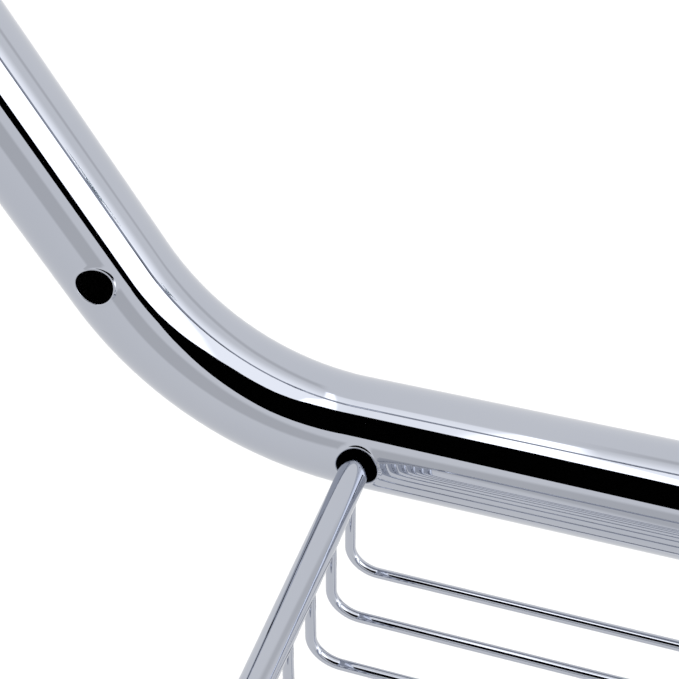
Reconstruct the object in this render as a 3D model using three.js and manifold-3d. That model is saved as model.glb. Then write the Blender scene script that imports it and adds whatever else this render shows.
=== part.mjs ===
// Hanging shower caddy: one bent chrome tube drilled for two wire baskets, on a hook that grips a shower arm.
// Millimetres, +Z up. X runs along the bottom bar, -Y points away from the wall.
// The origin is the top of the shower arm, where the hook's rubber sleeve rests on it.
import * as THREE from 'three';
import { mergeVertices } from 'three/addons/utils/BufferGeometryUtils.js';
import Module from 'manifold-3d';

const wasm = await Module();
wasm.setup();

const degrees = THREE.MathUtils.degToRad;

// ---- Driving dimensions ----

const gap = 0.3; // between pieces that touch

const tube = { outerR: 12.7, wall: 1.2, bendR: 66.6, sides: 20, boreSides: 12 };
const frame = {
  barHalf: 62.3, // straight half of the bottom bar, to the start of its bend
  armRise: degrees(58.3), // the lower arms climb at this angle
  armLength: 80,
  sideLength: 230,
  shoulderTurn: degrees(58.3), // from the upright sides in towards the hub
};

const rod = { r: 3.4, sides: 10, domeInset: 1.9 }; // its domed ends start just inside the tube's wall
const rodHole = { r: rod.r + 1.35, inward: 0.3, raised: 0.45 }; // drilled oversize, shifted from the rod it holds
const accessoryHole = { r: 4.2, pastBend: 4.25, turn: degrees(9.8) };

const wire = { r: 1.25, sides: 8, bendR: 7, pitch: 14.1 };
const lowerBasket = { rodInset: 2.95, depth: 125, cornerR: 12, drop: 29.9, wires: 8, wireOutset: 0.5 };
const upperBasket = {
  aboveSideFoot: 105, // height of the rods over the foot of the upright sides
  depth: 125, cornerR: 20, drop: 60, wires: 8,
  stringers: 3, guardDrop: 30, guardInset: 40, railR: 2, railBehindFront: 9,
};

const showerArmR = 10.7;
const hook = { r: 5, sides: 12, tipR: 6.6, tipTurn: degrees(176), socketDepth: 18, bossR: 8.5, bossBelowTop: 2 };
const sleeve = { wall: 1.5, from: degrees(8), to: degrees(150) };

const clamp = {
  standoff: 1, up: 2.5, down: 14, // rest distance to the arm and travel either way
  rubber: 3.5, cup: 3, padR: 7, lip: 0.8,
  screwR: 4, tipR: 2.4, knobR: 12.5, knobHeight: 14, flutes: 8, fluteR: 3,
};
const hub = { collarR: 15, bossR: 11, crest: 3, tubeSetback: 26, spigot: 22, sides: 24 };
const setScrew = { r: 2, headR: 3.6, head: 2.2, fromTubeEnd: 11, bite: 6 };

const cup = { aboveSideFoot: 25, r: 21, lipWidth: 4, dish: 9, boss: 7, bossR: 7, skin: 2, sides: 24 };
const stud = { r: 2.8, headR: 5.5, head: 2, inTube: 5, inCup: 4.5 };

const chrome = new THREE.MeshStandardMaterial({ color: 0xc9ccd1, roughness: 0.04, metalness: 1 });
const rubber = new THREE.MeshStandardMaterial({ color: 0x26282b, roughness: 0.75, metalness: 0 });
const clearVinyl = new THREE.MeshStandardMaterial({ color: 0xd9e2e6, roughness: 0.25, metalness: 0 });

// ---- Paths ----

// A bent line given by stations, each a point and the direction there.
class StationCurve extends THREE.Curve {
  constructor(stations) {
    super();
    this.stations = stations;
  }
  station(u) {
    return this.stations[Math.round(u * (this.stations.length - 1))];
  }
  getPointAt(u, target = new THREE.Vector3()) {
    return target.copy(this.station(u).point);
  }
  getTangentAt(u, target = new THREE.Vector3()) {
    return target.copy(this.station(u).tangent);
  }
}

// Turns a polyline with rounded corners into stations: corners are [x, y, z, radius].
function roundedPath(corners, arcStep = degrees(18)) {
  const points = corners.map(([x, y, z]) => new THREE.Vector3(x, y, z));
  const last = points.length - 1;
  const heading = (i) => points[i + 1].clone().sub(points[i]).normalize();
  const stations = [{ point: points[0], tangent: heading(0) }];
  for (let i = 1; i < last; i += 1) {
    const before = heading(i - 1);
    const after = heading(i);
    const turn = before.angleTo(after);
    const radius = corners[i][3];
    const start = points[i].clone().addScaledVector(before, -radius * Math.tan(turn / 2));
    const axis = before.clone().cross(after).normalize();
    const centre = start.clone().addScaledVector(axis.clone().cross(before), radius);
    const steps = Math.max(2, Math.ceil(turn / arcStep));
    for (let k = 0; k <= steps; k += 1) {
      const angle = (turn * k) / steps;
      const point = start.clone().sub(centre).applyAxisAngle(axis, angle).add(centre);
      stations.push({ point, tangent: before.clone().applyAxisAngle(axis, angle) });
    }
  }
  stations.push({ point: points[last], tangent: heading(last - 1) });
  return stations;
}

// Right half of the frame from the middle of the bar, in the XZ plane: straight runs and bends in turn.
function traceFrame(shoulderLength) {
  const stations = [];
  const marks = {};
  const at = new THREE.Vector2(0, 0);
  let angle = 0;
  const push = () => {
    const tangent = new THREE.Vector3(Math.cos(angle), 0, Math.sin(angle));
    stations.push({ point: new THREE.Vector3(at.x, 0, at.y), tangent });
  };
  const straight = (length) => {
    at.x += length * Math.cos(angle);
    at.y += length * Math.sin(angle);
  };
  const bend = (turn) => {
    const steps = Math.ceil(turn / degrees(7.5));
    const chord = 2 * tube.bendR * Math.sin(turn / steps / 2);
    push();
    for (let k = 0; k < steps; k += 1) {
      angle += turn / steps / 2;
      straight(chord);
      angle += turn / steps / 2;
      push();
    }
  };
  straight(frame.barHalf);
  bend(frame.armRise);
  marks.armFoot = at.clone();
  straight(frame.armLength);
  bend(degrees(90) - frame.armRise);
  marks.sideFoot = at.clone();
  straight(frame.sideLength);
  bend(frame.shoulderTurn);
  marks.shoulderFoot = at.clone();
  straight(shoulderLength);
  push();
  return { stations, marks };
}

const mirrored = ({ point, tangent }) => ({
  point: new THREE.Vector3(-point.x, point.y, point.z),
  tangent: new THREE.Vector3(tangent.x, tangent.y, -tangent.z),
});

// ---- Solids ----

const ring = (r, sides) => Array.from({ length: sides }, (_, i) => {
  const a = (2 * Math.PI * i) / sides;
  return new THREE.Vector2(r * Math.cos(a), r * Math.sin(a));
});

// A round bar, or a pipe when boreR is given, along the stations.
function bar(stations, r, sides, boreR = 0, boreSides = sides) {
  const section = new THREE.Shape(ring(r, sides));
  if (boreR > 0) section.holes.push(new THREE.Path(ring(boreR, boreSides)));
  return new THREE.ExtrudeGeometry(section, {
    steps: stations.length - 1,
    bevelEnabled: false,
    extrudePath: new StationCurve(stations),
  });
}

// A cylinder between two points.
function pin(from, to, r, sides = 16) {
  const a = new THREE.Vector3(...from);
  const b = new THREE.Vector3(...to);
  const along = b.clone().sub(a);
  const geometry = new THREE.CylinderGeometry(r, r, along.length(), sides);
  const turn = new THREE.Quaternion().setFromUnitVectors(new THREE.Vector3(0, 1, 0), along.normalize());
  geometry.applyQuaternion(turn);
  const middle = a.add(b).multiplyScalar(0.5);
  return geometry.translate(middle.x, middle.y, middle.z);
}

// A solid of revolution from [radius, height] pairs that start and end on the axis or close on themselves.
const turned = (profile, sides) => new THREE.LatheGeometry(
  profile.map(([r, h]) => new THREE.Vector2(r, h)), sides,
);

function toSolid(geometry) {
  const bare = geometry.clone();
  bare.deleteAttribute('normal');
  bare.deleteAttribute('uv');
  const merged = mergeVertices(bare, 1e-4);
  return new wasm.Manifold(new wasm.Mesh({
    numProp: 3,
    vertProperties: Float32Array.from(merged.attributes.position.array),
    triVerts: Uint32Array.from(merged.index.array),
  }));
}

function toGeometry(solid) {
  const mesh = solid.getMesh();
  const geometry = new THREE.BufferGeometry();
  geometry.setAttribute('position', new THREE.BufferAttribute(Float32Array.from(mesh.vertProperties), 3));
  geometry.setIndex(new THREE.BufferAttribute(Uint32Array.from(mesh.triVerts), 1));
  geometry.computeVertexNormals();
  return geometry;
}

// Joins the first list of geometries and cuts away the second.
function carve(joined, cut) {
  let solid = toSolid(joined[0]);
  joined.slice(1).forEach((geometry) => { solid = solid.add(toSolid(geometry)); });
  cut.forEach((geometry) => { solid = solid.subtract(toSolid(geometry)); });
  return toGeometry(solid);
}

function place(parent, name, geometry, material) {
  const mesh = new THREE.Mesh(geometry, material);
  mesh.name = name;
  parent.add(mesh);
  return mesh;
}

// ---- Layout worked out from the driving dimensions ----

const sleeveOuterR = hook.r + gap + sleeve.wall;
const hookArcR = showerArmR + sleeveOuterR;
const hookCentreZ = -showerArmR;

const padTopZ = -2 * showerArmR - clamp.standoff;
const padStack = clamp.rubber + gap + clamp.cup;
const hubTopZ = padTopZ - padStack - clamp.down - 2 * gap;
const shoulderPitch = frame.shoulderTurn; // angle of the shoulders from the vertical
const collarReach = hub.collarR / Math.sin(shoulderPitch);
const hubZ = hubTopZ - hub.crest - collarReach;
const knobClear = clamp.up + 1; // the knob sits in the crotch of the hub, under the sloping collars
const knobTopZ = hubZ - collarReach - clamp.knobR / Math.tan(shoulderPitch) - knobClear;

const traced = traceFrame(0).marks;
const shoulderLength = traced.shoulderFoot.x / Math.sin(shoulderPitch) - hub.tubeSetback;
const { stations: rightHalf, marks } = traceFrame(shoulderLength);
const apex = marks.shoulderFoot.y + marks.shoulderFoot.x / Math.tan(shoulderPitch);
const barZ = hubZ - apex;
const sideX = marks.sideFoot.x;

// ---- The bent tube ----

const pair = [-1, 1]; // left and right

// Point on the arm where the spare hole is drilled, and the direction it is drilled in.
function accessoryHoleLine(side) {
  const x = marks.armFoot.x + accessoryHole.pastBend * Math.cos(frame.armRise);
  const z = marks.armFoot.y + accessoryHole.pastBend * Math.sin(frame.armRise);
  const inwards = [-Math.sin(frame.armRise), Math.cos(frame.armRise)];
  const out = [
    inwards[0] * Math.sin(accessoryHole.turn), -Math.cos(accessoryHole.turn),
    inwards[1] * Math.sin(accessoryHole.turn),
  ];
  const along = (d) => [side * (x + out[0] * d), out[1] * d, z + out[2] * d];
  return [along(tube.outerR * 0.5), along(tube.outerR * 1.5)];
}

const lowerRodX = frame.barHalf - lowerBasket.rodInset;
const lowerWireX = lowerRodX + lowerBasket.wireOutset;
const upperRodZ = marks.sideFoot.y + upperBasket.aboveSideFoot;
const cupZ = marks.sideFoot.y + cup.aboveSideFoot;

// Middle of the fixing screw, on the axis of a shoulder.
const screwBack = hub.tubeSetback + setScrew.fromTubeEnd;
const screwX = screwBack * Math.sin(shoulderPitch);
const screwZ = -screwBack * Math.cos(shoulderPitch);

function makeTube() {
  const stations = [...rightHalf.map(mirrored).reverse(), ...rightHalf];
  const boreR = tube.outerR - tube.wall;
  const pipe = bar(stations, tube.outerR, tube.sides, boreR, tube.boreSides);
  const near = tube.outerR * 0.5;
  const far = tube.outerR * 1.5;
  const drill = (x, z, r, sign) => pin([x, sign * near, z], [x, sign * far, z], r, 20);
  const cuts = pair.flatMap((side) => [
    drill(side * (lowerRodX - rodHole.inward), rodHole.raised, rodHole.r, -1),
    drill(side * (sideX - rodHole.inward), upperRodZ + rodHole.raised, rodHole.r, -1),
    drill(side * sideX, cupZ, stud.r + gap, 1),
    drill(side * screwX, apex + screwZ, setScrew.r + gap, 1),
    pin(...accessoryHoleLine(side), accessoryHole.r, 20),
  ]);
  return carve([pipe], cuts);
}

// ---- Hub, hook and clamp ----

function makeHub() {
  const down = [Math.sin(shoulderPitch), -Math.cos(shoulderPitch)];
  const on = (side, s) => [side * down[0] * s, 0, hubZ + down[1] * s];
  const boreR = tube.outerR - tube.wall;
  const spigotR = boreR * Math.cos(Math.PI / tube.boreSides) - gap;
  const hookFoot = hubTopZ + hook.bossBelowTop;
  const joined = [
    new THREE.SphereGeometry(hub.collarR, hub.sides, 12).translate(0, 0, hubZ),
    pin([0, 0, hubZ], [0, 0, hubTopZ], hub.bossR, hub.sides),
    pin([-hookArcR, 0, hubZ - hub.collarR / 2], [-hookArcR, 0, hookFoot], hook.bossR, hub.sides),
    ...pair.flatMap((side) => [
      pin(on(side, 0), on(side, hub.tubeSetback - gap), hub.collarR, hub.sides),
      pin(on(side, 1), on(side, hub.tubeSetback + hub.spigot), spigotR, hub.sides),
    ]),
  ];
  const cuts = [
    pin([0, 0, hubZ - 2 * hub.collarR], [0, 0, hubTopZ + 1], clamp.screwR + gap, 16),
    pin([-hookArcR, 0, hookFoot - hook.socketDepth - gap], [-hookArcR, 0, hookFoot + 1], hook.r + gap, 16),
    ...pair.map((side) => pin(
      [side * screwX, tube.outerR - tube.wall - setScrew.bite, hubZ + screwZ],
      [side * screwX, tube.outerR * 1.2, hubZ + screwZ], setScrew.r + gap, 12,
    )),
  ];
  return carve(joined, cuts);
}

function hookStations(from, to, steps) {
  return Array.from({ length: steps + 1 }, (_, i) => {
    const a = from + ((to - from) * i) / steps; // measured over the arm from its left side
    return {
      point: new THREE.Vector3(-hookArcR * Math.cos(a), 0, hookCentreZ + hookArcR * Math.sin(a)),
      tangent: new THREE.Vector3(Math.sin(a), 0, Math.cos(a)),
    };
  });
}

function addHanger(root) {
  const footZ = hubTopZ + hook.bossBelowTop - hook.socketDepth;
  const foot = { point: new THREE.Vector3(-hookArcR, 0, footZ), tangent: new THREE.Vector3(0, 0, 1) };
  const arc = hookStations(0, hook.tipTurn, 16);
  place(root, 'hanger_hub', makeHub(), chrome);
  place(root, 'arm_hook', bar([foot, ...arc], hook.r, hook.sides), chrome);
  const grip = bar(hookStations(sleeve.from, sleeve.to, 12), sleeveOuterR, 12, hook.r + gap, 12);
  place(root, 'hook_sleeve', grip, rubber);

  const end = arc[arc.length - 1];
  const ball = end.point.clone().addScaledVector(end.tangent, gap + hook.tipR * 0.8);
  const cap = new THREE.SphereGeometry(hook.tipR, 16, 12).translate(ball.x, ball.y, ball.z);
  const reach = end.point.clone().addScaledVector(end.tangent, gap);
  const trim = end.point.clone().addScaledVector(end.tangent, -2 * hook.tipR);
  place(root, 'hook_tip', carve([cap], [pin(trim.toArray(), reach.toArray(), 2 * hook.tipR, 8)]), chrome);

  pair.forEach((side) => {
    const name = side < 0 ? 'left' : 'right';
    const screw = turned([
      [0, -setScrew.bite - tube.wall + gap], [setScrew.r, -setScrew.bite - tube.wall + gap], [setScrew.r, gap],
      [setScrew.headR, gap], [setScrew.headR, gap + setScrew.head * 0.4],
      [setScrew.headR * 0.6, gap + setScrew.head], [0, gap + setScrew.head],
    ], 14);
    place(root, `fixing_screw_${name}`, screw, chrome).position.set(side * screwX, tube.outerR, hubZ + screwZ);
  });
}

// The knob has scallops round its rim for wet fingers.
function makeClampScrew() {
  const knob = pin([0, 0, knobTopZ - clamp.knobHeight], [0, 0, knobTopZ], clamp.knobR, 32);
  const tipZ = padTopZ - clamp.rubber - gap - clamp.lip - gap;
  const shankTop = padTopZ - padStack - gap;
  const shank = pin([0, 0, knobTopZ - 2], [0, 0, shankTop], clamp.screwR, 16);
  const tip = pin([0, 0, shankTop - 1], [0, 0, tipZ], clamp.tipR, 12);
  const scallops = Array.from({ length: clamp.flutes }, (_, i) => {
    const a = (2 * Math.PI * i) / clamp.flutes;
    const x = (clamp.knobR + clamp.fluteR * 0.5) * Math.cos(a);
    const y = (clamp.knobR + clamp.fluteR * 0.5) * Math.sin(a);
    return pin([x, y, knobTopZ - clamp.knobHeight - 1], [x, y, knobTopZ + 1], clamp.fluteR, 12);
  });
  return carve([knob, shank, tip], scallops);
}

function addClamp(root) {
  place(root, 'clamp_screw', makeClampScrew(), chrome);
  const cupTop = padTopZ - clamp.rubber - gap;
  const swivel = turned([
    [0, cupTop - clamp.lip], [clamp.tipR + gap, cupTop - clamp.lip], [clamp.tipR + gap, cupTop - clamp.cup],
    [clamp.padR, cupTop - clamp.cup], [clamp.padR, cupTop], [0, cupTop],
  ], 20);
  place(root, 'clamp_cup', swivel, chrome).rotation.x = Math.PI / 2;
  const pad = turned([
    [0, padTopZ - clamp.rubber], [clamp.padR, padTopZ - clamp.rubber], [clamp.padR, padTopZ - 1],
    [clamp.padR - 1, padTopZ], [0, padTopZ],
  ], 20);
  place(root, 'clamp_pad', pad, rubber).rotation.x = Math.PI / 2;
}

// ---- Suction cups behind the sides ----

function addSuctionCups(root) {
  const flange = tube.outerR + gap;
  const cupBack = flange + stud.head + gap;
  const dishBack = cupBack + cup.boss;
  const wall = dishBack + cup.dish;
  const studProfile = [
    [0, tube.outerR - tube.wall - stud.inTube], [stud.r, tube.outerR - tube.wall - stud.inTube], [stud.r, flange],
    [stud.headR, flange], [stud.headR, flange + stud.head], [stud.r, flange + stud.head],
    [stud.r, cupBack + stud.inCup], [0, cupBack + stud.inCup],
  ];
  const cupProfile = [
    [0, cupBack + stud.inCup + gap], [stud.r + gap, cupBack + stud.inCup + gap], [stud.r + gap, cupBack],
    [cup.bossR, cupBack], [cup.bossR, dishBack], [cup.r * 0.62, dishBack + cup.dish * 0.3],
    [cup.r, wall - cup.skin * 0.5], [cup.r, wall], [cup.r - cup.lipWidth, wall],
    [cup.r * 0.5, dishBack + cup.dish * 0.3 + cup.skin], [0, dishBack + cup.skin],
  ];
  pair.forEach((side) => {
    const name = side < 0 ? 'left' : 'right';
    place(root, `cup_stud_${name}`, turned(studProfile, 12), chrome).position.set(side * sideX, 0, barZ + cupZ);
    place(root, `suction_cup_${name}`, turned(cupProfile, cup.sides), clearVinyl)
      .position.set(side * sideX, 0, barZ + cupZ);
  });
}

// ---- Baskets ----

const firstWireY = -(tube.outerR + gap + wire.r); // the rear wire leans on the tube

// The rim is one rod: domed ends in the tube's holes, side rods, rounded corners and the front.
function makeRim(halfWidth, depth, cornerR) {
  const domeY = -(tube.outerR - rod.domeInset);
  const path = roundedPath([
    [-halfWidth, domeY, 0],
    [-halfWidth, -depth, 0, cornerR],
    [halfWidth, -depth, 0, cornerR],
    [halfWidth, domeY, 0],
  ]);
  const domes = pair.map((side) => (
    new THREE.SphereGeometry(rod.r, rod.sides, 8).translate(side * halfWidth, domeY, 0)
  ));
  return carve([bar(path, rod.r, rod.sides), ...domes], []);
}

// A wire bent to a U that hangs under the rods at the distance y from the middle of the tube.
function makeHangingWire(halfWidth, y, drop) {
  const top = -(rod.r + gap);
  const path = roundedPath([
    [-halfWidth, y, top], [-halfWidth, y, -drop, wire.bendR], [halfWidth, y, -drop, wire.bendR], [halfWidth, y, top],
  ], degrees(23));
  return bar(path, wire.r, wire.sides);
}

function addLowerBasket(root) {
  const basket = new THREE.Group();
  basket.position.z = barZ;
  root.add(basket);
  place(basket, 'lower_basket_rim', makeRim(lowerRodX, lowerBasket.depth, lowerBasket.cornerR), chrome);
  for (let i = 0; i < lowerBasket.wires; i += 1) {
    const u = makeHangingWire(lowerWireX, firstWireY - i * wire.pitch, lowerBasket.drop);
    place(basket, `lower_basket_wire_${i + 1}`, u, chrome);
  }
}

function addUpperBasket(root) {
  const basket = new THREE.Group();
  basket.position.z = barZ + upperRodZ;
  root.add(basket);
  const { depth, cornerR, drop, wires, stringers, guardDrop, guardInset, railR } = upperBasket;
  place(basket, 'upper_basket_rim', makeRim(sideX, depth, cornerR), chrome);
  for (let i = 0; i < wires; i += 1) {
    const u = makeHangingWire(sideX, firstWireY - i * wire.pitch, drop);
    place(basket, `upper_basket_wire_${i + 1}`, u, chrome);
  }
  const lastWireY = firstWireY - (wires - 1) * wire.pitch;
  const stringerZ = -drop - 2 * wire.r - gap;
  for (let i = 0; i < stringers; i += 1) {
    const x = sideX * ((2 * (i + 1)) / (stringers + 1) - 1);
    const cross = pin([x, firstWireY + wire.r, stringerZ], [x, lastWireY - wire.r, stringerZ], wire.r, wire.sides);
    place(basket, `upper_basket_stringer_${i + 1}`, cross, chrome);
  }
  const guard = makeHangingWire(sideX - guardInset, -depth, guardDrop);
  place(basket, 'upper_basket_front_guard', guard, chrome);
  const railHalf = sideX - rod.r - gap;
  const railY = firstWireY - upperBasket.railBehindFront;
  place(basket, 'upper_basket_rear_rail', pin([-railHalf, railY, 0], [railHalf, railY, 0], railR, 10), chrome);
}

// ---- Assembly ----

const caddy = new THREE.Group();
caddy.name = 'shower_caddy';
place(caddy, 'frame_tube', makeTube(), chrome).position.z = barZ;
addHanger(caddy);
addClamp(caddy);
addSuctionCups(caddy);
addLowerBasket(caddy);
addUpperBasket(caddy);

export default caddy;
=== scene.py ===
# Hanging shower caddy: a bent chrome tube, two wire baskets, and a hook with a rubber grip and a clamp.
# All sizes are in millimetres and become metres when a mesh is made.
import math
import bmesh
import bpy
import numpy as np
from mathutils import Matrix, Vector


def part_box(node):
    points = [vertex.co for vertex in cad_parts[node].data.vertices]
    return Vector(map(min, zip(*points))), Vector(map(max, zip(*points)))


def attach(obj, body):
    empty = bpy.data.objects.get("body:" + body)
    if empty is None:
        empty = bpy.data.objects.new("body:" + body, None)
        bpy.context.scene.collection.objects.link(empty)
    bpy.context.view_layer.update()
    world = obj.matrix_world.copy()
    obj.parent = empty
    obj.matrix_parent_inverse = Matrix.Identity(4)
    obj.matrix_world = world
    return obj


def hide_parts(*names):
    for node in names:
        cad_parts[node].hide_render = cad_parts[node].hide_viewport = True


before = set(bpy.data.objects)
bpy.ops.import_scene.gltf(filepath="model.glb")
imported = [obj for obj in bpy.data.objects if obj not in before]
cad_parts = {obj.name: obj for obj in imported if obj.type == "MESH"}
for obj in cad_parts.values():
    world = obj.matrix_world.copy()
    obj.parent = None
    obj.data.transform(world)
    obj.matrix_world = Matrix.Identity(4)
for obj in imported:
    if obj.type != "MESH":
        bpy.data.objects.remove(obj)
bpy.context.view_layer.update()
scene = bpy.context.scene
mm = 0.001
gap = 0.3
sideNames = {-1: "left", 1: "right"}


def boxMm(node):
    low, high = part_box(node)
    return np.array(low) / mm, np.array(high) / mm


print("frame loaded")

# camera and picture tone

cameraSpot = {
    "place": (0.0065007, -0.225847, -0.362628),
    "tiltDegrees": 52.2814,
    "turnDegrees": 18.0599,
    "lens": 72.351,
}


def makeCamera():
    data = bpy.data.cameras.new("caddyCamera")
    data.lens = cameraSpot["lens"]
    data.sensor_width = 36
    data.clip_start = 0.01
    data.clip_end = 60
    camera = bpy.data.objects.new("caddyCamera", data)
    camera.location = cameraSpot["place"]
    tilt, turn = math.radians(cameraSpot["tiltDegrees"]), math.radians(cameraSpot["turnDegrees"])
    camera.rotation_euler = (tilt, 0, turn)
    scene.collection.objects.link(camera)
    scene.camera = camera


makeCamera()
scene.view_settings.view_transform = "Standard"
scene.view_settings.look = "None"
print("camera ready")

# finishes

chromeLook = {
    "lightTint": (0.492, 0.514, 0.574),
    "darkTint": (0.474, 0.498, 0.562),
    "patchSize": 18.0,
    "roughLow": 0.008,
    "roughHigh": 0.022,
    "polishSize": 260.0,
    "rippleSize": 45.0,
    "rippleDepth": 0.000012,
}
# inner wall of the tube: the noise is steel grain, the near-black tones are painted shade for the dim inside
# of the tube
boreShadeLook = {"light": (0.055, 0.055, 0.06), "dark": (0.012, 0.012, 0.014), "grain": 700.0}
rubberLook = {
    "light": (0.034, 0.035, 0.037),
    "dark": (0.016, 0.0165, 0.018),
    "grain": 2600.0,
    "grainDepth": 0.00006,
    "roughLow": 0.55,
    "roughHigh": 0.8,
}
vinylLook = {"light": (0.86, 0.91, 0.93), "dark": (0.74, 0.81, 0.84), "grain": 320.0, "depth": 0.00003}


def newFinish(name):
    finish = bpy.data.materials.new(name)
    finish.use_nodes = True
    tree = finish.node_tree
    shader = tree.nodes["Principled BSDF"]
    where = tree.nodes.new("ShaderNodeTexCoord")
    return finish, tree, shader, where.outputs["Object"]


def noiseNode(tree, where, scale, detail=3.0, distortion=0.0):
    noise = tree.nodes.new("ShaderNodeTexNoise")
    noise.inputs["Scale"].default_value = scale
    noise.inputs["Detail"].default_value = detail
    noise.inputs["Distortion"].default_value = distortion
    tree.links.new(where, noise.inputs["Vector"])
    return noise.outputs["Fac"]


def colourBetween(tree, share, dark, light, start=0.35, end=0.65):
    ramp = tree.nodes.new("ShaderNodeValToRGB")
    ramp.color_ramp.elements[0].position = start
    ramp.color_ramp.elements[1].position = end
    ramp.color_ramp.elements[0].color = (*dark, 1)
    ramp.color_ramp.elements[1].color = (*light, 1)
    tree.links.new(share, ramp.inputs["Fac"])
    return ramp.outputs["Color"]


def valueBetween(tree, share, low, high, start=0.3, end=0.7):
    spread = tree.nodes.new("ShaderNodeMapRange")
    spread.inputs["From Min"].default_value = start
    spread.inputs["From Max"].default_value = end
    spread.inputs["To Min"].default_value = low
    spread.inputs["To Max"].default_value = high
    tree.links.new(share, spread.inputs["Value"])
    return spread.outputs["Result"]


def bumpNode(tree, height, distance, strength=1.0):
    bump = tree.nodes.new("ShaderNodeBump")
    bump.inputs["Strength"].default_value = strength
    bump.inputs["Distance"].default_value = distance
    tree.links.new(height, bump.inputs["Height"])
    return bump.outputs["Normal"]


def makeChrome():
    look = chromeLook
    finish, tree, shader, where = newFinish("polishedChrome")
    shader.inputs["Metallic"].default_value = 1
    tint = colourBetween(tree, noiseNode(tree, where, look["patchSize"]), look["darkTint"], look["lightTint"])
    tree.links.new(tint, shader.inputs["Base Color"])
    polish = noiseNode(tree, where, look["polishSize"], 4.0, 0.6)
    roughness = valueBetween(tree, polish, look["roughLow"], look["roughHigh"])
    tree.links.new(roughness, shader.inputs["Roughness"])
    ripple = noiseNode(tree, where, look["rippleSize"], 1.0)
    tree.links.new(bumpNode(tree, ripple, look["rippleDepth"]), shader.inputs["Normal"])
    return finish


def makeShadedBore():
    finish, tree, shader, where = newFinish("steelBorePaintedShade")
    shader.inputs["Metallic"].default_value = 0.6
    shader.inputs["Roughness"].default_value = 0.5
    # near-black base colour paints the shade inside the tube over a steel grain
    grain = noiseNode(tree, where, boreShadeLook["grain"], 5.0)
    tint = colourBetween(tree, grain, boreShadeLook["dark"], boreShadeLook["light"])
    tree.links.new(tint, shader.inputs["Base Color"])
    return finish


def makeRubber():
    look = rubberLook
    finish, tree, shader, where = newFinish("mouldedRubber")
    grain = noiseNode(tree, where, look["grain"], 6.0)
    cloud = noiseNode(tree, where, look["grain"] / 30, 3.0)
    tree.links.new(colourBetween(tree, cloud, look["dark"], look["light"]), shader.inputs["Base Color"])
    tree.links.new(valueBetween(tree, cloud, look["roughLow"], look["roughHigh"]), shader.inputs["Roughness"])
    tree.links.new(bumpNode(tree, grain, look["grainDepth"]), shader.inputs["Normal"])
    return finish


def makeVinyl():
    look = vinylLook
    finish, tree, shader, where = newFinish("clearVinyl")
    shader.inputs["Transmission Weight"].default_value = 0.85
    shader.inputs["IOR"].default_value = 1.42
    cloud = noiseNode(tree, where, look["grain"] / 4, 3.0)
    tree.links.new(colourBetween(tree, cloud, look["dark"], look["light"]), shader.inputs["Base Color"])
    tree.links.new(valueBetween(tree, cloud, 0.12, 0.28), shader.inputs["Roughness"])
    ripple = noiseNode(tree, where, look["grain"], 2.0)
    tree.links.new(bumpNode(tree, ripple, look["depth"]), shader.inputs["Normal"])
    return finish


chrome = makeChrome()
shadedBore = makeShadedBore()
rubber = makeRubber()
vinyl = makeVinyl()
slots = {"chrome": chrome, "black_rubber": rubber, "clear_vinyl": vinyl}
print("finishes ready")

# mesh tools


def unit(v):
    v = np.asarray(v, float)
    return v / np.linalg.norm(v, axis=-1, keepdims=True)


def addPiece(name, points, faces, normals, body, slot, node, extra=None):
    # One closed mesh, ridden on its body. Normals may be None, then edges over 35 degrees stay crisp.
    mesh = bpy.data.meshes.new(name)
    mesh.from_pydata((np.asarray(points) * mm).tolist(), [], faces)
    mesh.materials.append(slots[slot])
    if extra is not None:
        mesh.materials.append(extra["finish"])
        mesh.polygons.foreach_set("material_index", extra["faces"])
    turnOutwards(mesh)
    mesh.polygons.foreach_set("use_smooth", [True] * len(mesh.polygons))
    if normals is None:
        mesh.set_sharp_from_angle(angle=math.radians(35))
    else:
        mesh.normals_split_custom_set_from_vertices(np.asarray(normals).tolist())
    mesh.update()
    piece = bpy.data.objects.new(name, mesh)
    scene.collection.objects.link(piece)
    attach(piece, body)
    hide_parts(node)
    piece.visible_glossy = not node.startswith("upper_basket")  # keeps the tube's white band clean
    return piece


def turnOutwards(mesh):
    work = bmesh.new()
    work.from_mesh(mesh)
    bmesh.ops.recalc_face_normals(work, faces=work.faces)
    work.to_mesh(mesh)
    work.free()


def joined(*parts):
    # Puts several (points, faces, normals) sets in one.
    points, faces, normals, base = [], [], [], 0
    for part in parts:
        points.append(np.asarray(part[0], float))
        faces += [tuple(i + base for i in face) for face in part[1]]
        normals.append(np.asarray(part[2], float))
        base += len(part[0])
    return np.vstack(points), faces, np.vstack(normals)


def bentLine(corners, step=4.0):
    # Corners are (x, y, z, bend radius). Bends become short steps of so many degrees.
    spots = [np.array(c[:3], float) for c in corners]
    line, ways = [spots[0]], [unit(spots[1] - spots[0])]
    for i in range(1, len(spots) - 1):
        before, after = unit(spots[i] - spots[i - 1]), unit(spots[i + 1] - spots[i])
        turn = math.acos(np.clip(before @ after, -1, 1))
        radius = corners[i][3]
        axis = unit(np.cross(before, after))
        start = spots[i] - before * radius * math.tan(turn / 2)
        inward = np.cross(axis, before)
        steps = max(3, math.ceil(math.degrees(turn) / step))
        for k in range(steps + 1):
            a = turn * k / steps
            line.append(start + radius * (before * math.sin(a) + inward * (1 - math.cos(a))))
            ways.append(before * math.cos(a) + inward * math.sin(a))
    line.append(spots[-1])
    ways.append(unit(spots[-1] - spots[-2]))
    return np.array(line), np.array(ways)


def lineLengths(line):
    return np.concatenate([[0], np.cumsum(np.linalg.norm(np.diff(line, axis=0), axis=1))])


def alongLine(line, ways, lengths, at):
    spot = np.stack([np.interp(at, lengths, line[:, i]) for i in range(3)], 1)
    way = np.stack([np.interp(at, lengths, ways[:, i]) for i in range(3)], 1)
    return spot, unit(way)


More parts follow.
